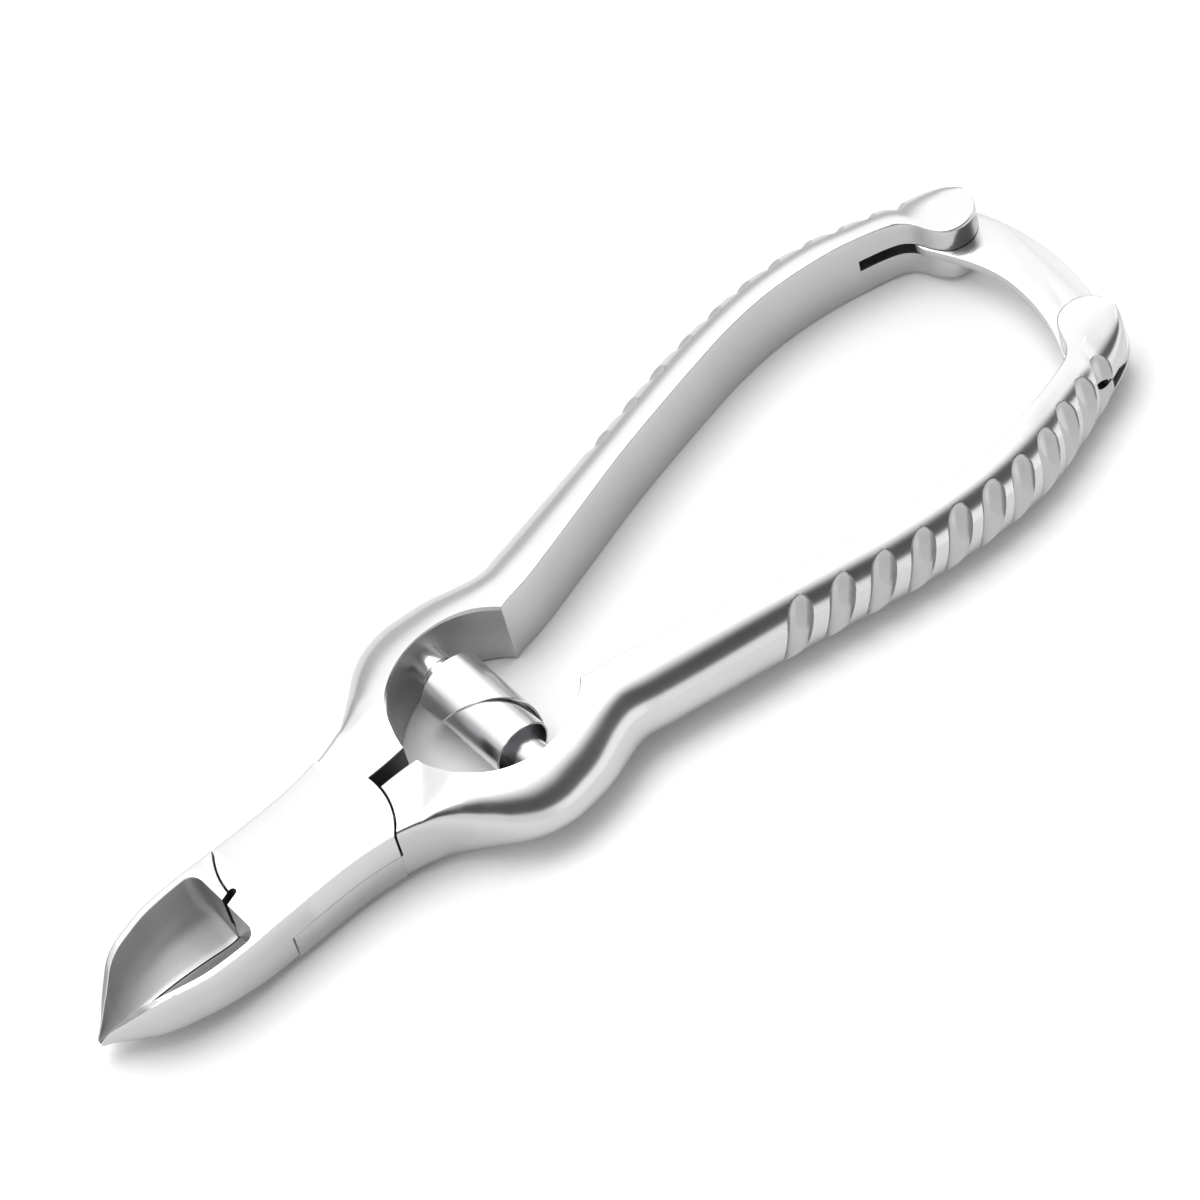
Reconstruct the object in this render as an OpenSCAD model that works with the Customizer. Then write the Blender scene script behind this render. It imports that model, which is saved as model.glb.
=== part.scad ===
// Toenail nipper: two crossed levers on a lap joint, a barrel spring between
// the shanks and a curved strap that holds the handle ends together.
// It lies flat on Z = 0 with its jaws closed. +X runs to the handle ends,
// and lengths along X in the tables are measured from the pivot.

/* [Levers] */
// Thickness of the handles
handle_t = 10; // [9:0.5:11]
// Thickness of the lap joint
joint_t = 8.2; // [7.6:0.2:8.6]
// Width of the lap joint
joint_w = 13; // [12:0.2:14]
// Radius of the two arcs that bound the lap joint
joint_r = 10; // [9.6:0.1:10.2]
// Width of the reserve slot between the shanks
reserve_w = 2.2; // [1.6:0.1:2.6]
// Radius of the round hollow that houses the spring
hollow_r = 10.8; // [10.6:0.1:11.2]
// Play between faces that pass each other
play = 0.1; // [0.06:0.02:0.16]

/* [Jaws] */
// Width of the flat rim around the jaw hollow
rim_w = 0.9; // [0.6:0.1:1.2]
// Height of the cutting edge above the jaw's underside
edge_h = 0.6; // [0.5:0.1:1]

/* [Pivot] */
// Radius of the pivot's shank
pivot_r = 2.5; // [2:0.1:3]
// Radius of the pivot's head
pivot_head_r = 3.6; // [3.2:0.1:4]
// Height of the pivot's head
pivot_head_h = 1.3; // [1:0.1:1.6]

/* [Spring] */
// Radius of the studs that carry the spring
stud_r = 2.1; // [1.5:0.1:2.3]
// Length of each stud in front of its seat
stud_l = 5.4; // [4:0.2:6]
// Length of the rolled barrel
barrel_l = 13; // [12:0.2:14]
// Width of the rolled strip, along the barrel
strip_w = 17.4; // [17:0.2:18]
// Thickness of the rolled strip
strip_t = 0.28; // [0.2:0.02:0.3]

/* [Lock] */
// Thickness of the strap
strap_t = 1.45; // [1.2:0.05:1.5]
// Height of the slots in the handle ends
slot_h = 1.75; // [1.7:0.05:1.9]
// Outer radius of the crescent strap
strap_ro = 31.4; // [31:0.1:31.8]
// Inner radius of the crescent strap
strap_ri = 25.2; // [24.8:0.1:25.6]
// Radius of the strap's pivot pin
strap_pin_r = 1; // [0.8:0.1:1.2]
// Radius of the catch pin
catch_pin_r = 0.8; // [0.7:0.05:0.85]

/* [Hidden] */
$fn = 64;
e = 0.01;
pivot_x = -40.45;
mid = handle_t / 2;
joint_top = mid + joint_t / 2;
joint_bot = mid - joint_t / 2;
lap = 0.03;
hollow_x = 25.9;
spring_x = 25.45;
strap_c = [80, 0.8];
strap_pin = [105.3, 13];
catch_pin = [103.3, -13.3];
knob_h = 4.15;
jaw_back = -11.2;

// Inner edge, outer edge and half thickness of a handle, along X.
INNER = [[6, 1.1], [15, 1.1], [25, 3.2], [34.7, 6.9], [39.2, 7.8], [46.8, 9.9], [57, 12.8],
  [64.7, 14.6], [71.4, 16], [77.7, 17.1], [84, 17.5], [90, 17], [95, 16], [100, 14.4],
  [101.6, 13], [102.6, 10.7], [103.6, 9.3], [105, 8.6], [106.4, 8.5], [107.6, 8.9],
  [108.7, 9.8], [109.3, 10.9], [109.6, 12.1]];
OUTER = [[6, 6.9], [8, 7.3], [10.5, 8.2], [12.2, 9.2], [15.8, 12.7], [18, 14.8], [20.7, 16.4],
  [24, 17.1], [27, 16.9], [30, 16.4], [36, 14.6], [39.8, 15.2], [45.7, 16.4], [57, 18.7],
  [64, 20.3], [71, 21.8], [79, 22.8], [85, 23], [91, 22.3], [97, 20.5], [102.4, 18.6],
  [106, 17.1], [108, 15.7], [109.2, 14], [109.6, 12.7]];
HALF_T = [[6, joint_t / 2 - 0.02], [12, joint_t / 2 - 0.02], [17, 4.7], [21, mid], [92, mid],
  [99, 4.6], [104, 4.3], [109.6, 4]];

// Half width, upper edge and lower edge of the closed jaws, along X.
JAW_W = [[-30.5, 0.4], [-29.3, 1], [-27.7, 2.3], [-26.6, 3.1], [-24.8, 4.3], [-23, 5.1],
  [-21, 5.7], [-18.5, 6.3], [-15.5, 6.6], [-12.5, 6.7], [-9.6, 6.6], [-6, 6.4]];
JAW_TOP = [[-30.5, 3.5], [-29.3, 4.8], [-27.7, 6.3], [-26.6, 7.2], [-24.8, 8.5],
  [-22.5, joint_top - 0.05], [-6, joint_top - 0.02]];
JAW_BOT = [[-30.5, 2.7], [-27, 2.3], [-23, 2.3], [-19.5, 2.2], [-16, 1.8], [-13, 1.3],
  [-9, joint_bot + 0.02], [-6, joint_bot + 0.02]];

// Smooth curve through a table of points.
function slope(t, i) = let (a = max(i - 1, 0), b = min(i + 1, len(t) - 1))
  (t[b][1] - t[a][1]) / (t[b][0] - t[a][0]);
function seg(t, x, i = 0) = i >= len(t) - 2 || x < t[i + 1][0] ? i : seg(t, x, i + 1);
function curve(t, x) = let (i = seg(t, x), d = t[i + 1][0] - t[i][0], u = (x - t[i][0]) / d)
  t[i][1] * (2 * u^3 - 3 * u^2 + 1) + t[i + 1][1] * (3 * u^2 - 2 * u^3)
  + slope(t, i) * d * (u^3 - 2 * u^2 + u) + slope(t, i + 1) * d * (u^3 - u^2);

// Solid through a row of rings with the same number of points.
module loft(rings) {
  n = len(rings[0]);
  m = len(rings);
  polyhedron(
    points = [for (r = rings) for (p = r) p],
    faces = concat(
      [for (i = [0:m - 2]) for (j = [0:n - 1]) let (k = (j + 1) % n)
        each [[i * n + j, i * n + k, (i + 1) * n + j],
          [i * n + k, (i + 1) * n + k, (i + 1) * n + j]]],
      [[for (j = [n - 1:-1:0]) j]],
      [[for (j = [0:n - 1]) (m - 1) * n + j]]),
    convexity = 4);
}

// D-shaped section: flat inner face, flat top near it, round outer side.
function handle_ring(x) = let (a = curve(INNER, x), b = curve(OUTER, x), h = lookup(x, HALF_T),
    w = b - a, c = min(0.7, 0.2 * w), s = a + 0.42 * w)
  concat(
    [[x, a, mid + h - c], [x, a + 0.3 * c, mid + h - 0.3 * c], [x, a + c, mid + h]],
    [for (t = [90:-15:-90]) [x, s + 0.58 * w * cos(t), mid + h * sin(t)]],
    [[x, a + c, mid - h], [x, a + 0.3 * c, mid - h + 0.3 * c], [x, a, mid - h + c]]);

// Section of one jaw's body, and of the concave hollow cut into it from above.
function jaw_ring(x) = let (w = curve(JAW_W, x), t = curve(JAW_TOP, x), b = curve(JAW_BOT, x),
    h = t - b, r = min(rim_w, 0.3 * w))
  [[x, play, b + 0.15], [x, play, t], [x, w - 0.3 * r, t], [x, w, t - 0.3 * r],
    [x, w, b + 0.3 * h], [x, 0.87 * w, b + 0.08 * h], [x, 0.6 * w, b]];
function hollow_ring(x) = let (w = curve(JAW_W, x), t = curve(JAW_TOP, x),
    b = curve(JAW_BOT, x), r = min(rim_w, 0.3 * w), z = b + min(edge_h, 0.35 * (t - b)),
    d = t - z)
  [[x, -1, z - 0.05], [x, -1, t + 1], [x, w - r + 0.25 * r / d, t + 1],
    [x, w - 1.25 * r, z + 0.6 * d], [x, 0.64 * w, z + 0.25 * d], [x, 0.34 * w, z + 0.07 * d]];

module handle() {
  xs = concat([for (x = [8:2.25:35]) x], [for (x = [38:4:94]) x],
    [for (x = [96.5:1.3:106]) x], [106.8, 107.8, 108.6, 109.2, 109.5]);
  loft([for (x = xs) handle_ring(x)]);
}

module jaw() {
  xs = [-29.3, -28.4, -27.4, -26.2, -24.6, -23, -21, -18.5, -15.5, -12.7];
  mirror([0, 1, 0])
    difference() {
      loft([for (x = concat([-30.5], xs, [-10, -8, -6])) jaw_ring(x)]);
      loft([for (x = concat([-31], xs, [jaw_back])) hollow_ring(x)]);
    }
}

module joint_plate(z0, z1) {
  w = joint_w / 2;
  translate([0, 0, z0])
    intersection() {
      cylinder(r = joint_r, h = z1 - z0, $fn = 96);
      linear_extrude(z1 - z0)
        for (side = [1, -1])
          scale([1, side])
            polygon([[-11, 0], [-11, w], [-5, w - 0.1], [1, w - 0.1], [4.5, w + 0.2],
              [8, w + 0.8], [11, w + 1.7], [11, 0]]);
    }
}

// Slot for the strap, cut right across a handle end.
module strap_slot() {
  translate([0, 0, mid - slot_h / 2])
    linear_extrude(slot_h)
      polygon([[95.5, 16.2], [103.4, 18.1], [106, 21], [112, 21], [112, 5], [95.5, 5]]);
}

// One lever with its handle at +Y and its jaw at -Y. The other lever's half
// of the lap joint fits in a round recess, from cut_z downwards or upwards.
module lever_blank(z0, z1, cut_z) {
  difference() {
    union() {
      difference() {
        union() {
          handle();
          jaw();
        }
        translate([0, 0, cut_z])
          cylinder(r = joint_r + play, h = 12, $fn = 96);
      }
      joint_plate(z0, z1);
    }
    translate([hollow_x, 0, -1])
      cylinder(r = hollow_r, h = handle_t + 2, $fn = 96);
    translate([spring_x, 6, mid])
      rotate([-90, 0, 0])
        cylinder(r = stud_r, h = 7);
    strap_slot();
  }
}

module upper_lever() {
  color("#c4c6c8")
    translate([pivot_x, 0, 0])
      difference() {
        lever_blank(mid + lap, joint_top, mid + lap + e - 12);
        translate([0, 0, mid - 1])
          cylinder(r = pivot_r, h = 8);
        translate([strap_pin[0], strap_pin[1], -1])
          cylinder(r = strap_pin_r, h = 12, $fn = 32);
      }
}

module lower_lever() {
  color("#b9bcbf")
    translate([pivot_x, 0, 0])
      difference() {
        mirror([0, 1, 0])
          lever_blank(joint_bot, mid - lap, mid - lap - e);
        translate([0, 0, -1])
          cylinder(r = pivot_r + 0.05, h = 8);
        translate([0, 0, -1])
          cylinder(r = pivot_head_r + 0.1, h = joint_bot + pivot_head_h + 1.05);
        translate([catch_pin[0], catch_pin[1], -1])
          cylinder(r = catch_pin_r, h = 12, $fn = 32);
      }
}

// Pivot, riveted flush into the upper lever, with a slotted head below.
module pivot_screw() {
  color("#9a9da0")
    translate([pivot_x, 0, joint_bot])
      difference() {
        union() {
          cylinder(r = pivot_head_r, h = pivot_head_h);
          cylinder(r = pivot_r, h = joint_t - play);
        }
        translate([-4, -0.4, -e])
          cube([8, 0.8, 0.6]);
      }
}

// Round stud with a domed end, pressed into the wall of the hollow.
module spring_stud() {
  tip = hollow_r - stud_l;
  translate([pivot_x + spring_x, 0, mid])
    rotate([-90, 0, 0])
      rotate_extrude($fn = 48)
        polygon(concat([[0, tip - 0.9]],
          [for (a = [15:15:90]) [stud_r * sin(a), tip - 0.9 * cos(a)]],
          [[stud_r, 13], [0, 13]]));
}

module spring_stud_upper() {
  color("#d8dadc")
    spring_stud();
}

module spring_stud_lower() {
  color("#d8dadc")
    mirror([0, 1, 0])
      spring_stud();
}

// Strip rolled slantwise round the Y axis into a barrel, with its ends cut
// square; t counts turns, and each turn lies on the one before.
function spring_ring(t) = let (c = 15.5 * t, r = 3.95 + 0.32 * t, q = 108 + 360 * t,
    a = max(c + 0.1, -barrel_l / 2 + 0.2), b = min(c + strip_w, barrel_l / 2 + 0.2))
  [for (p = [[r, a], [r, b], [r - strip_t, b], [r - strip_t, a]])
    [p[0] * cos(q), p[1], p[0] * sin(q)]];

module barrel_spring() {
  color("#e2e4e6")
    translate([pivot_x + spring_x, 0, mid])
      loft([for (i = [-32:8]) spring_ring(i / 21)]);
}

// Crescent plate with a pivot eye at one end and a hooked notch at the other.
module lock_strap() {
  color("#cfd1d3")
    translate([pivot_x, 0, mid - strap_t / 2])
      difference() {
        union() {
          intersection() {
            translate([strap_c[0], strap_c[1], 0])
              difference() {
                cylinder(r = strap_ro, h = strap_t, $fn = 128);
                translate([0, 0, -1])
                  cylinder(r = strap_ri, h = strap_t + 2, $fn = 128);
              }
            translate([0, 0, -1])
              linear_extrude(strap_t + 2)
                polygon([strap_c, [114, 17.2], [114, -9.5], [107.2, -15.2], [104.6, -16.9],
                  [100, -20]]);
          }
          translate([strap_pin[0], strap_pin[1], 0])
            cylinder(r = 3.7, h = strap_t);
          linear_extrude(strap_t)
            polygon([[103, -15.2], [103.1, -17.5], [104.4, -17.25], [105.6, -16.85], [105.6, -15.2]]);
          intersection() {
            translate([catch_pin[0] + 2.15, catch_pin[1] + 0.55, 0])
              cylinder(r = 4.1, h = strap_t);
            translate([catch_pin[0], catch_pin[1], 0])
              linear_extrude(strap_t)
                polygon([[-0.2, -5], [7.3, -5], [7.3, 2], [1.3, 2], [1.3, -1.9], [-0.2, -1.9]]);
          }
        }
        translate([strap_pin[0], strap_pin[1], -1])
          cylinder(r = strap_pin_r + 0.05, h = 4, $fn = 32);
        translate([catch_pin[0] - 4, catch_pin[1] - 1, -1])
          cube([5.95, 2, 4]);
        translate([catch_pin[0] + 1.95, catch_pin[1], -1])
          cylinder(r = 1, h = 4, $fn = 32);
        translate([catch_pin[0] - 9, catch_pin[1] - 9, -1])
          cube([10.1, 9, 4]);
      }
}

module pin(p, r) {
  translate([pivot_x + p[0], p[1], mid - knob_h])
    cylinder(r = r, h = 2 * knob_h, $fn = 32);
}

module strap_pin() {
  color("#8f9295")
    pin(strap_pin, strap_pin_r);
}

module catch_pin() {
  color("#8f9295")
    pin(catch_pin, catch_pin_r);
}

upper_lever();
lower_lever();
pivot_screw();
spring_stud_upper();
spring_stud_lower();
barrel_spring();
lock_strap();
strap_pin();
catch_pin();
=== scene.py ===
import math

import bmesh
import bpy
from mathutils import Matrix, Vector

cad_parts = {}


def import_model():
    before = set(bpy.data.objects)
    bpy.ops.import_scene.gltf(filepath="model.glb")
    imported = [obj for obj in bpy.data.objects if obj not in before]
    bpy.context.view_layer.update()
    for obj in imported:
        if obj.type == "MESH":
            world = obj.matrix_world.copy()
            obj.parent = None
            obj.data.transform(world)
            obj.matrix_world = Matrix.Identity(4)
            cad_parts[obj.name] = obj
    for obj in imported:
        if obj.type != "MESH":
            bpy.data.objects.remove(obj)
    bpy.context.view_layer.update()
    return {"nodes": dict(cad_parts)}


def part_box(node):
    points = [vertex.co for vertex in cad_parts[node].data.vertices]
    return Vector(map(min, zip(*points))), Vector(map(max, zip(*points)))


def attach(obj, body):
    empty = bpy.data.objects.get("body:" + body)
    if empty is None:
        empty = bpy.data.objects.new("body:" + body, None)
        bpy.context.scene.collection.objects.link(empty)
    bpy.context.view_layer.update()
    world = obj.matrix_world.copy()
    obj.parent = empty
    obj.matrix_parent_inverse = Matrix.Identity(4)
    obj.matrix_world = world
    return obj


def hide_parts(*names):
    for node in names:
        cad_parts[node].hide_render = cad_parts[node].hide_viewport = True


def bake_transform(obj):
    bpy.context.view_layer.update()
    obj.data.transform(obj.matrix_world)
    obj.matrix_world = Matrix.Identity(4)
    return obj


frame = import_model()
MM = 0.001


# ---------------------------------------------------------------- frame sizes
def box_mm(node):
    lo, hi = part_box(node)
    return [v / MM for v in lo], [v / MM for v in hi]


screw_lo, screw_hi = box_mm("pivot_screw")
lever_lo, lever_hi = box_mm("upper_lever")
stud_lo, stud_hi = box_mm("spring_stud_upper")
strap_lo, strap_hi = box_mm("lock_strap")
eye_lo, eye_hi = box_mm("strap_pin")
catch_lo, catch_hi = box_mm("catch_pin")
PX = (screw_lo[0] + screw_hi[0]) / 2  # pivot
MID = (lever_lo[2] + lever_hi[2]) / 2
HALF = (lever_hi[2] - lever_lo[2]) / 2
JH = MID - screw_lo[2]  # half thickness of the lap joint
JR = 10.0
PLAY = 0.1
SEAM = 0.24
HX = 25.9  # spring hollow, from the pivot
SX = (stud_lo[0] + stud_hi[0]) / 2 - PX  # spring
HR = 10.8
TIP = lever_lo[0] - PX
END = lever_hi[0] - PX
SLOT = 1.75
STRAP_C = (80.0, 0.8)
STRAP_RO, STRAP_RI = 31.39, 25.2
JAW_BACK = -11.2


# ---------------------------------------------------------------- small tools
def lerp(a, b, u):
    return a + (b - a) * u


def smooth(a, b, x):
    u = min(1.0, max(0.0, (x - a) / (b - a)))
    return u * u * (3 - 2 * u)


def curve(t, x):
    """Smooth curve through a table of points."""
    i = 0
    while i < len(t) - 2 and x >= t[i + 1][0]:
        i += 1

    def slope(k):
        a, b = max(k - 1, 0), min(k + 1, len(t) - 1)
        return (t[b][1] - t[a][1]) / (t[b][0] - t[a][0])

    d = t[i + 1][0] - t[i][0]
    u = min(1.0, max(0.0, (x - t[i][0]) / d))
    return (
        t[i][1] * (2 * u**3 - 3 * u**2 + 1)
        + t[i + 1][1] * (3 * u**2 - 2 * u**3)
        + slope(i) * d * (u**3 - 2 * u**2 + u)
        + slope(i + 1) * d * (u**3 - u**2)
    )


def new_object(name, verts, faces):
    """Object from points in mm, X measured from the pivot."""
    me = bpy.data.meshes.new(name)
    pts = [((x + PX) * MM, y * MM, z * MM) for x, y, z in verts]
    me.from_pydata(pts, [], faces)
    me.validate()
    ob = bpy.data.objects.new(name, me)
    bpy.context.scene.collection.objects.link(ob)
    bm = bmesh.new()
    bm.from_mesh(me)
    bmesh.ops.recalc_face_normals(bm, faces=bm.faces)
    bm.to_mesh(me)
    bm.free()
    return ob


def loft(name, rings, closed=False):
    n, m = len(rings[0]), len(rings)
    verts = [p for r in rings for p in r]
    faces = []
    for i in range(m if closed else m - 1):
        q = (i + 1) % m
        for j in range(n):
            k = (j + 1) % n
            faces.append((i * n + j, i * n + k, q * n + k, q * n + j))
    if not closed:
        faces.append(tuple(range(n)))
        faces.append(tuple((m - 1) * n + j for j in range(n)))
    return new_object(name, verts, faces)


def lathe(name, profile, cx, cy, steps=192, axis="Z", cz=0.0):
    """Closed (r, h) profile turned about Z or Y through (cx, cy)."""
    rings = []
    for i in range(steps):
        a = 2 * math.pi * i / steps
        if axis == "Z":
            rings.append([(cx + r * math.cos(a), cy + r * math.sin(a), h) for r, h in profile])
        else:
            rings.append([(cx + r * math.cos(a), h, cz + r * math.sin(a)) for r, h in profile])
    ob = loft(name, rings, closed=True)
    bm = bmesh.new()
    bm.from_mesh(ob.data)
    bmesh.ops.remove_doubles(bm, verts=bm.verts, dist=1e-7)
    bmesh.ops.recalc_face_normals(bm, faces=bm.faces)
    bm.to_mesh(ob.data)
    bm.free()
    return ob


def cut(ob, other, op="DIFFERENCE"):
    mod = ob.modifiers.new("b", "BOOLEAN")
    mod.operation = op
    mod.solver = "MANIFOLD"
    mod.object = other
    dg = bpy.context.evaluated_depsgraph_get()
    me = bpy.data.meshes.new_from_object(ob.evaluated_get(dg))
    ob.modifiers.clear()
    old = ob.data
    ob.data = me
    bpy.data.meshes.remove(old)
    bpy.data.objects.remove(other)
    return ob


def mirrored(ob):
    """The same piece on the other side of the centre plane."""
    me = ob.data.copy()
    twin = bpy.data.objects.new(ob.name + "_m", me)
    bpy.context.scene.collection.objects.link(twin)
    me.transform(Matrix.Scale(-1, 4, Vector((0, 1, 0))))
    me.flip_normals()
    return twin


def finish_mesh(ob, angle=24.0):
    """Merges leftovers of the cuts and sets smooth faces with crisp edges."""
    bm = bmesh.new()
    bm.from_mesh(ob.data)
    bmesh.ops.remove_doubles(bm, verts=bm.verts, dist=2e-6)
    bmesh.ops.dissolve_degenerate(bm, edges=bm.edges, dist=1e-7)
    for f in bm.faces:
        f.smooth = True
    for ed in bm.edges:
        if len(ed.link_faces) == 2:
            ed.smooth = ed.calc_face_angle(0.0) < math.radians(angle)
    bm.to_mesh(ob.data)
    bm.free()


# ---------------------------------------------------------------- levers
# Handle edges, squareness of its section and what its end loses in half thickness;
# half width of the joint; half width, upper edge and lower edge of the jaws. All
# along X from the pivot, in mm.
INNER = [
    (3, 1.1), (15, 1.1), (25, 3.2), (34.7, 6.9), (39.2, 7.8), (46.8, 9.9), (57, 12.8),
    (64.7, 14.6), (71.4, 16), (77.7, 17.1), (84, 17.5), (90, 17), (95, 16), (100, 14.4),
    (101.6, 13), (102.6, 10.7), (103.6, 9.3), (105, 8.6), (106.4, 8.5), (107.6, 8.9),
    (108.7, 9.8), (109.3, 10.9), (109.6, 12.1),
]
OUTER = [
    (3, 6.5), (6, 6.9), (8, 7.3), (10.5, 8.2), (12.2, 9.2), (15.8, 12.7), (18, 14.8), (20.7, 16.4),
    (24, 17.1), (27, 16.9), (30, 16.4), (36, 14.6), (39.8, 15.2), (45.7, 16.4), (57, 18.7),
    (64, 20.3), (71, 21.8), (79, 22.75), (85, 22.94), (91, 22.3), (97, 20.5), (102.4, 18.6),
    (106, 17.1), (108, 15.7), (109.2, 14), (109.6, 12.7),
]
PLATE_W = [(-12, 6.6), (-9.6, 6.5), (-5, 6.4), (1, 6.4), (4.5, 6.7), (8, 7.3), (12, 8.4)]
SQUARE = [
    (3, 14), (9.5, 12), (12, 5), (15, 2.8), (21, 2.2), (95, 2.2), (102, 2.6), (107, 4), (109.6, 6),
]
THICK = [(3, 0.0), (92, 0.0), (99, 0.35), (104, 0.7), (109.6, 0.85)]
JAW_W = [
    (-30.5, 0.4), (-29.3, 1.0), (-27.7, 2.3), (-26.6, 3.1), (-24.8, 4.3), (-23, 5.1),
    (-21, 5.7), (-18.5, 6.3), (-15.5, 6.55), (-12.5, 6.6), (-9.6, 6.5), (-5, 6.4),
]
JAW_TOP = [
    (-30.5, 3.5), (-29.3, 4.8), (-27.7, 6.3), (-26.6, 7.2), (-24.8, 8.5), (-22.5, 9.05), (-5, 9.1),
]
JAW_BOT = [
    (-30.5, 2.7), (-27, 2.3), (-23, 2.3), (-19.5, 2.2), (-16, 1.8), (-13, 1.3), (-9, 0.92),
    (-5, 0.9),
]
FLUTES = [55.4, 60.6, 65.7, 70.8, 75.8, 80.6, 85.2, 89.8, 94.0, 97.9, 101.6]
FLUTE_R = 1.7
FLUTE_D = 1.1
FLUTE_TOP = 9.75  # the round end of each groove


def flute_radius(xk, z):
    """Radius of the groove cutter at a height; its top end is a half ball."""
    up = max(0.0, z - FLUTE_TOP + FLUTE_R + curve(THICK, xk))
    return math.sqrt(max(0.0, FLUTE_R**2 - up * up))


def flute_axis(xk, z):
    """Centre of the groove cutter at a height, leaning in towards the top."""
    t, dz = outer_slope(xk), z - MID
    q = math.hypot(1, t)
    along = 0.42 * dz + 0.014 * dz * dz
    out = FLUTE_R - FLUTE_D - 0.19 * dz - 0.075 * max(0, dz) ** 2
    return xk + (along - t * out) / q, curve(OUTER, xk) + (along * t + out) / q


def outer_slope(x):
    return (curve(OUTER, x + 0.3) - curve(OUTER, x - 0.3)) / 0.6


def rise(x, y):
    """How far the crowned handle stands above the flat ground joint."""
    d = x - (10.2 + (8.0 - y) * 0.855)
    u = min(1.0, max(0.0, d / 7.5))
    return (HALF - JH) * math.sin(u * math.pi / 2)


def handle_ring(x):
    n, drop = curve(SQUARE, x), max(0.0, curve(THICK, x))
    a, b = curve(INNER, x), curve(OUTER, x)
    w = max(0.02, b - a)
    c = min(lerp(0.14, 0.35, smooth(97, 103, x)), 0.2 * w)
    s = a + lerp(0.3, 0.08, smooth(28, 44, x)) * w
    pts = []

    def high(y):
        return JH + rise(x, y) - drop

    def corner(i, sign):
        u = i / 4 * math.pi / 2
        y = a + c * (1 - math.cos(u))
        pts.append((x, y, MID + sign * (high(y) - c * (1 - math.sin(u)))))

    def flat(i, sign):
        y = lerp(a + c, s, i / 8)
        pts.append((x, y, MID + sign * high(y)))

    for i in range(4):
        corner(i, 1)
    for i in range(8):
        flat(i, 1)
    for i in range(57):
        t = math.pi / 2 * (1 - i / 28)
        y = s + (b - s) * abs(math.cos(t)) ** (2 / n)
        z = math.copysign(abs(math.sin(t)) ** (2 / n), t) * high(y)
        pts.append((x, y, MID + z))
    for i in range(7, -1, -1):
        flat(i, -1)
    for i in range(3, -1, -1):
        corner(i, -1)
    for i in range(1, 9):
        pts.append((x, a, MID + (-1 + 2 * i / 9) * (high(a) - c)))
    return pts


def stations():
    xs, x = [], 3.0
    while x < 107.0:
        xs.append(x)
        x += 0.3 if x < 20 or x > 99 else 0.42
    k = 18
    return xs + [107.0 + (END - 107.0) * math.sin(i / k * math.pi / 2) for i in range(1, k + 1)]


def flute_cutters():
    """Slanting round grooves, deeper at the top than at the bottom."""
    verts, faces = [], []
    m = 48
    for xk in FLUTES:
        zc = FLUTE_TOP - FLUTE_R - curve(THICK, xk)
        levels = [-1 + (zc + 1) * i / 24 for i in range(25)]
        levels += [zc + FLUTE_R * math.sin(math.radians(8.5 * i)) for i in range(1, 11)]
        base = len(verts)
        for z in levels:
            (cx, cy), r = flute_axis(xk, z), flute_radius(xk, z)
            for j in range(m):
                v = 2 * math.pi * j / m
                verts.append((cx + r * math.cos(v), cy + r * math.sin(v), z))
        for i in range(len(levels) - 1):
            for j in range(m):
                k = (j + 1) % m
                r0, r1 = base + i * m, base + (i + 1) * m
                faces.append((r0 + j, r0 + k, r1 + k, r1 + j))
        faces.append(tuple(base + j for j in range(m)))
        faces.append(tuple(base + (len(levels) - 1) * m + j for j in range(m)))
    return new_object("flutes", verts, faces)


def jaw_rings(hollow):
    rings = []
    lo, hi = (TIP - 0.5, JAW_BACK) if hollow else (TIP, -5.0)
    n = 110
    for i in range(n + 1):
        x = lerp(lo, hi, i / n)
        if hollow:
            x = lo + (hi - lo) * (1 - (1 - i / n) ** 1.5)
        q = max(x, TIP)
        w, t, b = curve(JAW_W, q), curve(JAW_TOP, q), curve(JAW_BOT, q)
        h = t - b
        r = min(0.85, 0.3 * w)
        if not hollow:
            c = min(0.9, 0.35 * w, 0.2 * h)
            ring = [(x, PLAY, b + 0.1), (x, PLAY, t)]
            k = 0.24 * min(1, w)
            ring += [(x, w - k, t), (x, w - 0.3 * k, t - 0.3 * k), (x, w, t - k)]
            ring += [(x, w, lerp(t - k, b + c, v)) for v in (0.25, 0.5, 0.75, 1.0)]
            ring += [
                (x, w - c * (1 - math.cos(a)), b + c * (1 - math.sin(a)))
                for a in (math.pi / 8, math.pi / 4, 3 * math.pi / 8, math.pi / 2)
            ]
            ring += [(x, 0.5 * w, b), (x, 0.25 * w, b + 0.02)]
        else:
            z = b + min(0.5, 0.3 * h)
            d = t - z
            back = JAW_BACK - x
            rc = 1.7
            pull = rc - math.sqrt(max(0.0, rc * rc - max(0.0, rc - back) ** 2))
            lift = 0.25 * pull
            wi = max(0.3 * w, w - r - pull)
            ring = [(x, -1.0, z + lift - 0.05), (x, -1.0, t + 1)]
            ring += [(x, wi + 0.35, t + 1), (x, wi + 0.1, t + 0.05), (x, wi - 0.03, t - 0.12)]
            for k in range(1, 22):
                y = (wi - 0.05) * (1 - (k / 22) ** 1.6)
                v = y / max(0.01, wi - 0.05)
                up = 0.42 * v**1.15 + 0.58 * v**9
                ring.append((x, y, z + lift * (1 - up) + (d - 0.14) * up))
        rings.append(ring)
    return rings


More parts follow.
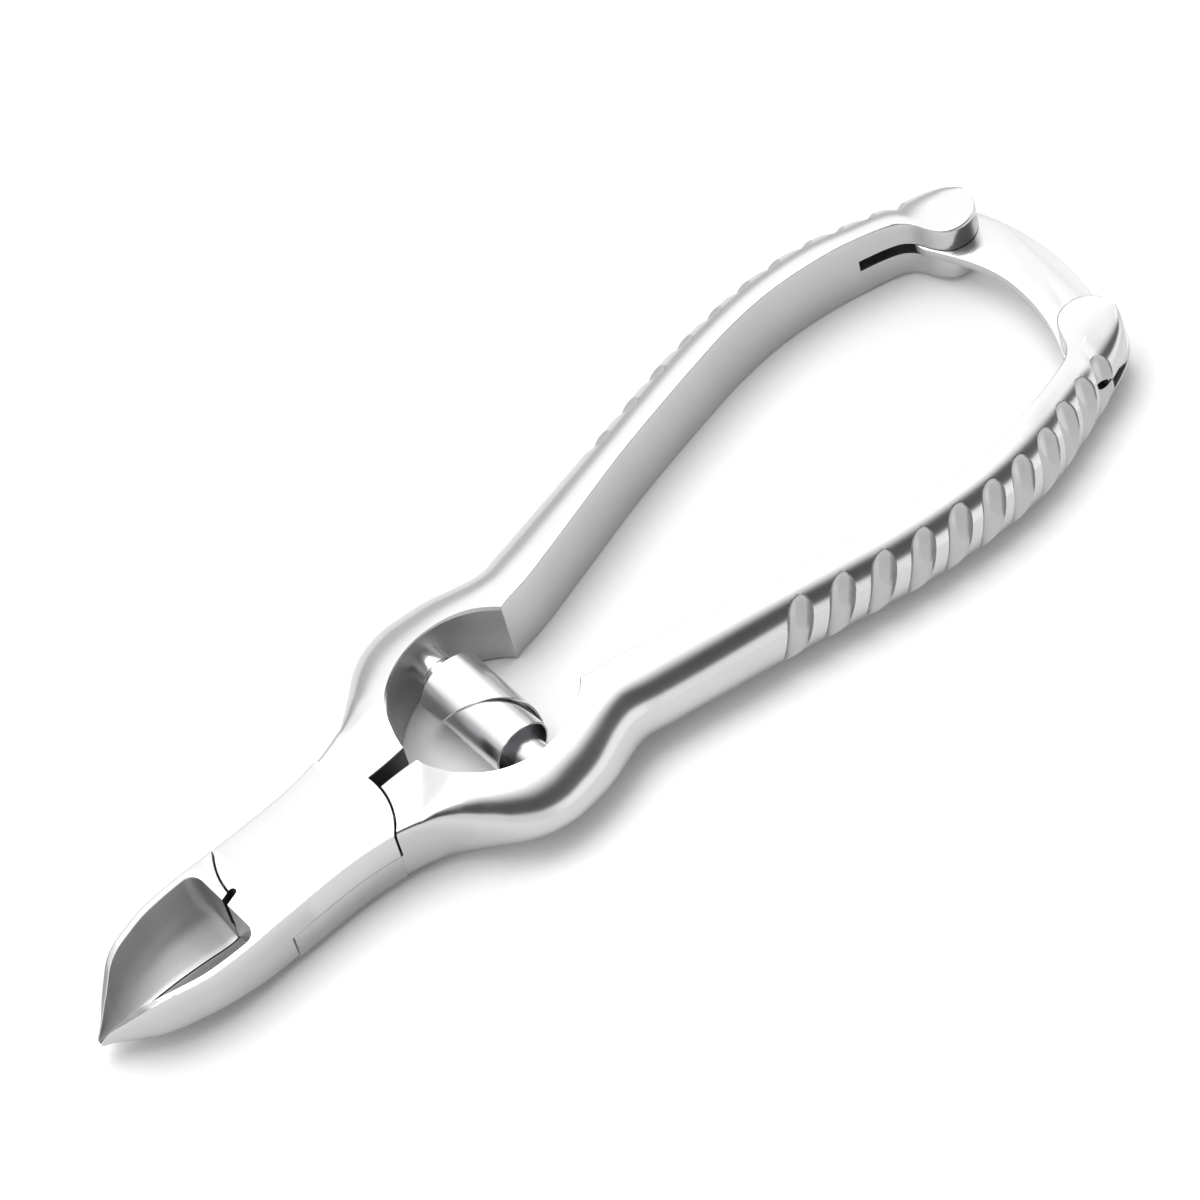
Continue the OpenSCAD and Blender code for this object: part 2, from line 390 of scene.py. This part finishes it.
def lever(name, upper):
    """One lever with its handle at +Y and its jaw at -Y."""
    side = 1 if upper else -1
    top = MID + JH
    ob = loft(name, [handle_ring(x) for x in stations()])
    jaw = loft("jaw", jaw_rings(False))
    cut(jaw, loft("hollow", jaw_rings(True)))
    cut(ob, mirrored(jaw), "UNION")
    bpy.data.objects.remove(jaw)
    # recess for the other lever's half of the joint, with a fine chamfer on top
    r, f = JR + SEAM, 0.06
    if upper:
        prof = [
            (0, -2), (r + 0.2, -2), (r + 0.2, MID - JH - 0.14), (r, MID - JH + f), (r, MID + 0.02),
            (0, MID + 0.02),
        ]
    else:
        prof = [
            (0, MID - 0.02), (r, MID - 0.02), (r, top - f), (r + 0.2, top + 0.14), (r + 0.2, 12),
            (0, 12),
        ]
    cut(ob, lathe("recess", prof, 0, 0, 256))
    # own half of the joint
    z0, z1 = (MID + 0.03, top) if upper else (MID - JH, MID - 0.03)
    edge = 0.26
    out = z1 if upper else z0
    inn = z0 if upper else z1
    sgn = 1 if upper else -1
    rings = []
    for i in range(49):
        x = -12 + i * 0.5
        w = curve(PLATE_W, x)
        low, mid = out - sgn * edge, out - sgn * edge * 0.3
        half = [(w, inn), (w, low), (w - edge * 0.3, mid), (w - edge, out)]
        rings.append([(x, -y, z) for y, z in half] + [(x, y, z) for y, z in reversed(half)])
    plate = loft("plate", rings)
    if upper:
        disc = [
            (0, 0), (JR, 0), (JR, out - 0.06), (JR - 0.06, out + 0.001), (JR - 0.06, 12), (0, 12),
        ]
    else:
        disc = [
            (0, -2), (JR - 0.06, -2), (JR - 0.06, out - 0.001), (JR, out + 0.06), (JR, 12), (0, 12),
        ]
    cut(plate, lathe("disc", disc, 0, 0, 256), "INTERSECT")
    cut(ob, plate, "UNION")
    # round hollow for the spring, chamfered at both faces
    c = 0.28
    prof = [
        (0, -1), (HR + 2.2, -1), (HR + c, -c * 0.4), (HR, c * 1.6),
        (HR, 2 * MID - c * 1.6), (HR + c, 2 * MID + c * 0.4), (HR + 2.2, 2 * MID + 1),
        (0, 2 * MID + 1),
    ]
    cut(ob, lathe("round", prof, HX, 0, 320))
    # small relief notch between the front seam and the jaw's hollow
    k = 1 if upper else -1
    ends, rn = ((-9.75, 0.5 * k), (-11.6, -0.1 * k)), 0.46
    dx, dy = ends[1][0] - ends[0][0], ends[1][1] - ends[0][1]
    turn = math.atan2(dy, dx)
    poly = []
    for (cx, cy), start in zip(ends, (math.pi / 2, -math.pi / 2)):
        for i in range(13):
            v = turn + start + math.pi * i / 12
            poly.append((cx + rn * math.cos(v), cy + rn * math.sin(v)))
    cut(ob, loft("notch", [[(x, y, z) for x, y in poly] for z in (MID - 0.5, 12)]))
    # slot for the strap
    s = SLOT / 2
    poly = [(95.5, 16.2), (103.4, 18.1), (106, 21), (112, 21), (112, 5), (95.5, 5)]
    cut(ob, loft("slot", [[(x, y, z) for x, y in poly] for z in (MID - s, MID + s)]))
    cut(ob, flute_cutters())
    if not upper:
        hr = screw_hi[0] - PX + 0.1
        bt = MID - JH
        head = [
            (0, -2), (hr + 0.5, -2), (hr + 0.1, bt - 0.02), (hr, bt + 0.15), (hr, bt + 1.35),
            (0, bt + 1.35),
        ]
        cut(ob, lathe("head", head, 0, 0, 96))
        me = ob.data
        me.transform(Matrix.Scale(-1, 4, Vector((0, 1, 0))))
        me.flip_normals()
    finish_mesh(ob)
    return ob


upper = lever("handle_upper", True)
lower = lever("handle_lower", False)


# ---------------------------------------------------------------- spring, studs, strap
def volute():
    """Strip rolled slantwise, each turn over the one before, its ends cut square."""
    end_a, end_b, wide, lead, thick, e = 6.7, -6.3, 17.4, 15.5, 0.27, 0.07
    rings = []
    n = 260
    for i in range(n + 1):
        t = lerp(-1.527, 0.405, i / n)
        a, b = max(lead * t + 0.1, end_b), min(lead * t + wide, end_a)
        if b - a < 0.2:
            continue
        r = 3.95 + 0.31 * t
        q = math.radians(108) + 2 * math.pi * t
        # the last turn stands off a little on the far side
        loose = 0.3 * smooth(-0.45, -0.25, t) * (1 - smooth(-0.25, 0.05, t))
        sec = []
        k = min(e, 0.4 * (b - a))
        for y, dr in (
            (a, -thick + e), (a, -e), (a + k, 0), (lerp(a, b, 0.33), 0), (lerp(a, b, 0.66), 0),
            (b - k, 0), (b, -e), (b, -thick + e), (b - k, -thick), (lerp(a, b, 0.5), -thick),
            (a + k, -thick),
        ):
            sec.append((SX + loose + (r + dr) * math.cos(q), y, MID + (r + dr) * math.sin(q)))
        rings.append(sec)
    return loft("spring", rings)


def stud(name):
    tip = stud_lo[1]
    r = (stud_hi[0] - stud_lo[0]) / 2
    prof = [(0, tip)]
    for i in range(1, 15):
        a = i / 14 * math.pi / 2
        prof.append((r * math.sin(a), tip + 0.9 * (1 - math.cos(a))))
    # collar pressed into the wall of the hollow
    prof += [(r, HR - 2.4), (r + 0.1, HR - 2.35), (r + 0.12, HR - 2.2), (r + 0.12, HR + 0.6)]
    prof.append((0, HR + 0.6))
    return lathe(name, prof, SX, 0, 96, axis="Y", cz=MID)


def strap():
    z0, z1 = strap_lo[2], strap_hi[2]
    ro, ri = STRAP_RO, STRAP_RI
    ex, ey = (eye_lo[0] + eye_hi[0]) / 2 - PX, (eye_lo[1] + eye_hi[1]) / 2
    kx, ky = (catch_lo[0] + catch_hi[0]) / 2 - PX, (catch_lo[1] + catch_hi[1]) / 2
    cx, cy = STRAP_C
    a_eye = math.atan2(ey - cy, ex - cx)
    out = []
    a_end = math.asin((ky + 2.0 - cy) / ro)
    for i in range(61):
        a = lerp(a_eye, a_end, i / 60)
        out.append((cx + ro * math.cos(a), cy + ro * math.sin(a)))
    for i in range(25):
        a = math.radians(lerp(16, -80, i / 24))
        out.append((kx + 2.15 + 4.1 * math.cos(a), ky + 0.55 + 4.1 * math.sin(a)))
    out += [(105.4, -16.95), (104.4, -17.25), (103.3, -17.45), (103.05, -17.2)]
    out += [(103.1, -15.2), (kx + 1.1, ky - 1.5)]
    for i in range(9):
        a = math.radians(-90 + 180 * i / 8)
        out.append((kx + 1.95 + math.cos(a), ky + math.sin(a)))
    a_in = math.asin((ky + 1.0 - cy) / ri)
    for i in range(61):
        a = lerp(a_in, a_eye, i / 60)
        r = ri - 0.8 * smooth(0.55, 1.0, i / 60)
        out.append((cx + r * math.cos(a), cy + r * math.sin(a)))
    far = math.hypot(ex - cx, ey - cy)
    for i in range(1, 24):
        a = a_eye + math.pi - math.pi * i / 24
        r = lerp(far - ri + 0.8, ro - far, i / 24)
        out.append((ex + r * math.cos(a), ey + r * math.sin(a)))
    e = 0.13

    def inset(d):
        n = len(out)
        res = []
        for i in range(n):
            p, q, r = Vector(out[i - 1]), Vector(out[i]), Vector(out[(i + 1) % n])
            u, v = (q - p).normalized(), (r - q).normalized()
            m = Vector((u.y + v.y, -u.x - v.x))
            if m.length < 1e-6:
                m = Vector((u.y, -u.x))
            m.normalize()
            res.append(q + m * d)
        return res

    area = sum(
        out[i - 1][0] * out[i][1] - out[i][0] * out[i - 1][1] for i in range(len(out))
    )
    s = -1 if area > 0 else 1
    rings = []
    for z, d in ((z0, e), (z0 + 0.04, 0.04), (z0 + e, 0), (z1 - e, 0), (z1 - 0.04, 0.04), (z1, e)):
        rings.append([(p.x, p.y, z) for p in inset(s * d)])
    ob = loft("strap", rings)
    hole = lathe("hole", [(0, 0), (1.05, 0), (1.05, 12), (0, 12)], ex, ey, 48)
    cut(ob, hole)
    finish_mesh(ob, 40)
    return ob


spring = volute()
finish_mesh(spring, 28)
stud_a = stud("stud_upper")
stud_b = mirrored(stud_a)
stud_b.name = "stud_lower"
finish_mesh(stud_a, 40)
finish_mesh(stud_b, 40)
plate = strap()


# ---------------------------------------------------------------- materials
def steel(name, colour, rough, grain, grain_scale, bump, vary):
    """Ground or polished steel; grain is the fine direction of its scratches."""
    mat = bpy.data.materials.new(name)
    mat.use_nodes = True
    nt = mat.node_tree
    nt.nodes.clear()

    def node(kind, **values):
        nd = nt.nodes.new(kind)
        for k, v in values.items():
            nd.inputs[k].default_value = v
        return nd

    link = nt.links.new
    out = node("ShaderNodeOutputMaterial")
    bsdf = node("ShaderNodeBsdfPrincipled", Metallic=1.0)
    link(bsdf.outputs[0], out.inputs[0])
    coord = node("ShaderNodeTexCoord")
    mp = node("ShaderNodeMapping", Scale=grain)
    link(coord.outputs["Object"], mp.inputs[0])
    fine = node("ShaderNodeTexNoise", Scale=grain_scale, Detail=5.0, Roughness=0.65)
    link(mp.outputs[0], fine.inputs["Vector"])
    cloud = node("ShaderNodeTexNoise", Scale=160.0, Detail=3.0, Roughness=0.55)
    link(coord.outputs["Object"], cloud.inputs["Vector"])
    # roughness: scratches and faint handling marks
    add = nt.nodes.new("ShaderNodeMath")
    add.operation = "MULTIPLY_ADD"
    link(fine.outputs[0], add.inputs[0])
    add.inputs[1].default_value = vary
    add.inputs[2].default_value = rough - vary * 0.5
    add2 = nt.nodes.new("ShaderNodeMath")
    add2.operation = "MULTIPLY_ADD"
    link(cloud.outputs[0], add2.inputs[0])
    add2.inputs[1].default_value = vary * 0.8
    link(add.outputs[0], add2.inputs[2])
    clamp = node("ShaderNodeClamp", Min=0.04, Max=0.9)
    link(add2.outputs[0], clamp.inputs[0])
    link(clamp.outputs[0], bsdf.inputs["Roughness"])
    # colour: slight cloudiness, brighter worn edges
    geo = node("ShaderNodeNewGeometry")
    edge = node("ShaderNodeMapRange")
    edge.inputs["From Min"].default_value = 0.52
    edge.inputs["From Max"].default_value = 0.6
    link(geo.outputs["Pointiness"], edge.inputs["Value"])
    mix = nt.nodes.new("ShaderNodeMix")
    mix.data_type = "RGBA"
    mix.inputs[6].default_value = (*[c * 0.95 for c in colour], 1)
    mix.inputs[7].default_value = (*[min(1, c * 1.04) for c in colour], 1)
    link(cloud.outputs[0], mix.inputs[0])
    mix2 = nt.nodes.new("ShaderNodeMix")
    mix2.data_type = "RGBA"
    link(edge.outputs[0], mix2.inputs[0])
    link(mix.outputs[2], mix2.inputs[6])
    mix2.inputs[7].default_value = (*[min(1, c * 1.1) for c in colour], 1)
    link(mix2.outputs[2], bsdf.inputs["Base Color"])
    if bump:
        bp = node("ShaderNodeBump", Strength=bump, Distance=0.0001)
        link(fine.outputs[0], bp.inputs["Height"])
        link(bp.outputs[0], bsdf.inputs["Normal"])
    return mat


M_LEVER = steel("lever_steel", (0.55, 0.55, 0.555), 0.17, (1.0, 0.045, 0.045), 5200.0, 0.06, 0.08)
M_HOLLOW = steel("hollow_steel", (0.52, 0.52, 0.525), 0.46, (0.5, 1.0, 0.4), 3600.0, 0.16, 0.14)
# painted shade: near-black steel colour for the seams, the split between the jaws and the strap slot,
# standing in for their shadow
M_GAP_SHADE = steel("gap_painted_shade", (0.12, 0.12, 0.125), 0.5, (1.0, 0.3, 0.3), 3600.0, 0.15, 0.14)
# painted shade: darker steel for the wall of the spring hollow and the rear wall of the jaw hollow
M_WALL_SHADE = steel("wall_painted_shade", (0.45, 0.45, 0.455), 0.36, (0.6, 0.6, 1.0), 3600.0, 0.2, 0.14)
# painted shade: darker steel inside the flutes
M_GROOVE_SHADE = steel("groove_painted_shade", (0.42, 0.42, 0.425), 0.15, (1.0, 1.0, 0.08), 3000.0, 0.0, 0.05)
# painted shade: a darker copy of hollow_steel for the -Y half of the jaw hollow
M_JAW_SIDE_SHADE = steel("hollow_side_painted_shade", (0.3, 0.3, 0.305), 0.42, (0.5, 1.0, 0.4), 3600.0, 0.12, 0.12)
M_STRAP = steel("strap_steel", (0.53, 0.53, 0.535), 0.2, (0.06, 1.0, 0.06), 5200.0, 0.05, 0.08)
M_SPRING = steel("spring_steel", (0.76, 0.76, 0.77), 0.2, (1.0, 0.05, 1.0), 4200.0, 0.02, 0.05)
M_STUD = steel("stud_steel", (0.74, 0.74, 0.75), 0.2, (0.05, 1.0, 0.05), 4800.0, 0.02, 0.05)
M_PIN = steel("pin_steel", (0.52, 0.52, 0.53), 0.3, (1.0, 0.2, 1.0), 4800.0, 0.08, 0.1)


def dress(ob, *mats):
    ob.data.materials.clear()
    for m in mats:
        ob.data.materials.append(m)


def radial(p):
    """How squarely a face looks at the pivot's axis, or away from it."""
    d = Vector((p.center.x - PX * MM, p.center.y, 0)).normalized()
    return abs(d.dot(p.normal))


def in_flute(x, y, z):
    for xk in FLUTES:
        gx, gy = flute_axis(xk, z)
        if math.hypot(x - gx, y - gy) < flute_radius(xk, z) + 0.04:
            return True
    return False


for ob in (upper, lower):
    dress(ob, M_LEVER, M_HOLLOW, M_GAP_SHADE, M_WALL_SHADE, M_GROOVE_SHADE, M_JAW_SIDE_SHADE)
    for p in ob.data.polygons:
        x, y, z = p.center.x / MM - PX, abs(p.center.y) / MM, p.center.z / MM
        upright = abs(p.normal.z) < 0.3
        p.material_index = 0
        if x < JAW_BACK + 0.2 and PLAY + 0.01 < y < 6.2:
            w, t = curve(JAW_W, max(TIP, x)), curve(JAW_TOP, max(TIP, x))
            if y < w - 0.25 * min(0.85, 0.3 * w) and p.normal.z > -0.2 and z < t - 0.1:
                # painted shade: the rear wall takes the darker wall colour, the rest of the hollow
                # takes hollow_steel
                p.material_index = 3 if p.normal.x < -0.6 else 1
                # painted shade: the -Y half of the hollow is darker than the +Y half
                if p.center.y < 0 and p.normal.x >= -0.6:
                    p.material_index = 5
        elif x < -9 and y < 1.1 and upright:
            # painted shade: near-black faces along the split between the jaws
            p.material_index = 2
        elif abs(math.hypot(x, y) - JR - SEAM / 2) < SEAM and upright and radial(p) > 0.85:
            # painted shade: near-black seam around the joint, except a lighter stretch at the front
            # below the middle
            p.material_index = 1 if x < -6 and y > 5 and z < MID else 2
        elif 8.5 < x < 17 and y < 1.25 and upright:
            # painted shade: near-black faces where the handles meet behind the joint
            p.material_index = 2
        elif 50 < x < 106 and p.normal.z < 0.95 and in_flute(x, y, z):
            # painted shade: darker colour on the flute walls
            p.material_index = 4
        elif x > 94 and abs(z - MID) < SLOT / 2 + 0.02 and y < curve(OUTER, x) - 0.1:
            # painted shade: near-black faces inside the strap slot
            if abs(p.normal.z) > 0.9 or (x < 103.3 and y > curve(INNER, x) + 0.15):
                p.material_index = 2
        elif abs(math.hypot(x - HX, y) - HR) < 0.05 and upright:
            # painted shade: darker colour on the wall of the spring hollow
            p.material_index = 3
dress(spring, M_SPRING)
dress(stud_a, M_STUD)
dress(stud_b, M_STUD)
dress(plate, M_STRAP)
for name in ("pivot_screw", "strap_pin", "catch_pin"):
    ob = frame["nodes"][name]
    for s in ob.material_slots:
        s.material = M_PIN
    if not ob.material_slots:
        print("no slots on", name)

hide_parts("upper_lever")
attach(upper, "lever_a")
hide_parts("lower_lever")
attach(lower, "lever_b")
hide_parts("spring_stud_upper")
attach(stud_a, "lever_a")
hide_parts("spring_stud_lower")
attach(stud_b, "lever_b")
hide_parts("lock_strap")
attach(plate, "strap")
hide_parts("barrel_spring")
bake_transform(spring)


# ---------------------------------------------------------------- stage, light, camera
def floor():
    me = bpy.data.meshes.new("floor")
    s = 2.5
    me.from_pydata([(-s, -s, 0), (s, -s, 0), (s, s, 0), (-s, s, 0)], [], [(0, 1, 2, 3)])
    ob = bpy.data.objects.new("floor", me)
    ob.location.z = -0.00005
    bpy.context.scene.collection.objects.link(ob)
    mat = bpy.data.materials.new("floor")
    mat.use_nodes = True
    b = mat.node_tree.nodes["Principled BSDF"]
    b.inputs["Base Color"].default_value = (0.82, 0.82, 0.82, 1)
    b.inputs["Roughness"].default_value = 0.9
    b.inputs["Specular IOR Level"].default_value = 0.1
    me.materials.append(mat)


def area(name, place, target, size, power):
    li = bpy.data.lights.new(name, "AREA")
    li.shape = "RECTANGLE"
    li.size, li.size_y = size
    li.energy = power
    ob = bpy.data.objects.new(name, li)
    ob.location = place
    ob.rotation_euler = (Vector(target) - Vector(place)).to_track_quat("-Z", "Y").to_euler()
    bpy.context.scene.collection.objects.link(ob)


def world():
    w = bpy.data.worlds.new("studio")
    bpy.context.scene.world = w
    w.use_nodes = True
    nt = w.node_tree
    bg = nt.nodes["Background"]
    co = nt.nodes.new("ShaderNodeTexCoord")
    sep = nt.nodes.new("ShaderNodeSeparateXYZ")
    nt.links.new(co.outputs["Generated"], sep.inputs[0])

    def ramp(stops):
        rp = nt.nodes.new("ShaderNodeValToRGB")
        el = rp.color_ramp.elements
        el[0].position, el[1].position = stops[0][0], stops[-1][0]
        el[0].color = (*[stops[0][1]] * 3, 1)
        el[1].color = (*[stops[-1][1]] * 3, 1)
        for p, v in stops[1:-1]:
            el.new(p).color = (v, v, v, 1)
        nt.links.new(sep.outputs[2], rp.inputs[0])
        return rp

    # a large soft window behind the object, darkness high on the near side
    far = ramp([
        (0.0, 0.36), (0.34, 0.4), (0.55, 0.82), (0.81, 0.82), (0.85, 0.64), (0.9, 0.62), (0.96, 0.76),
        (1.0, 0.76),
    ])
    near = ramp([(0.0, 0.7), (0.42, 0.68), (0.52, 0.08), (0.9, 0.05), (0.97, 0.5), (1.0, 0.74)])
    side = nt.nodes.new("ShaderNodeMapRange")
    side.inputs["From Min"].default_value = -0.3
    side.inputs["From Max"].default_value = -0.05
    nt.links.new(sep.outputs[1], side.inputs["Value"])
    mix = nt.nodes.new("ShaderNodeMix")
    mix.data_type = "RGBA"
    nt.links.new(side.outputs[0], mix.inputs[0])
    nt.links.new(near.outputs[0], mix.inputs[6])
    nt.links.new(far.outputs[0], mix.inputs[7])
    nt.links.new(mix.outputs[2], bg.inputs[0])
    # the left end of the studio is dimmer
    lean = nt.nodes.new("ShaderNodeMapRange")
    for key, v in (("From Min", -0.2), ("From Max", 0.14), ("To Min", 1.6), ("To Max", 2.2)):
        lean.inputs[key].default_value = v
    nt.links.new(sep.outputs[0], lean.inputs["Value"])
    nt.links.new(lean.outputs[0], bg.inputs[1])


floor()
world()
area("key", (-0.05, 0.3, 1.2), (0, 0, 0), (0.9, 0.7), 8)
area("fill", (-0.7, -0.1, 0.8), (0, 0, 0), (0.6, 0.6), 1)

bpy.context.scene.view_settings.view_transform = "Standard"
# azimuth, elevation and roll of the camera
A, E, R = math.radians(-27.191), math.radians(53.268), math.radians(-16.578)
DISTANCE = 0.674225
back = Vector((math.sin(A) * math.cos(E), -math.cos(A) * math.cos(E), math.sin(E)))
right = Vector((math.cos(A), math.sin(A), 0))
up = back.cross(right)
cam_r = math.cos(R) * right + math.sin(R) * up
cam_u = -math.sin(R) * right + math.cos(R) * up
cam_data = bpy.data.cameras.new("camera")
cam_data.sensor_width = 36
cam_data.lens = 180
cam_data.clip_start = 0.01
camera = bpy.data.objects.new("camera", cam_data)
bpy.context.scene.collection.objects.link(camera)
aim = Vector((PX + 46.015, 5.977, 0)) * MM
place = aim + back * DISTANCE
rot = Matrix((cam_r, cam_u, back)).transposed()
camera.matrix_world = Matrix.Translation(place) @ rot.to_4x4()
bpy.context.scene.camera = camera
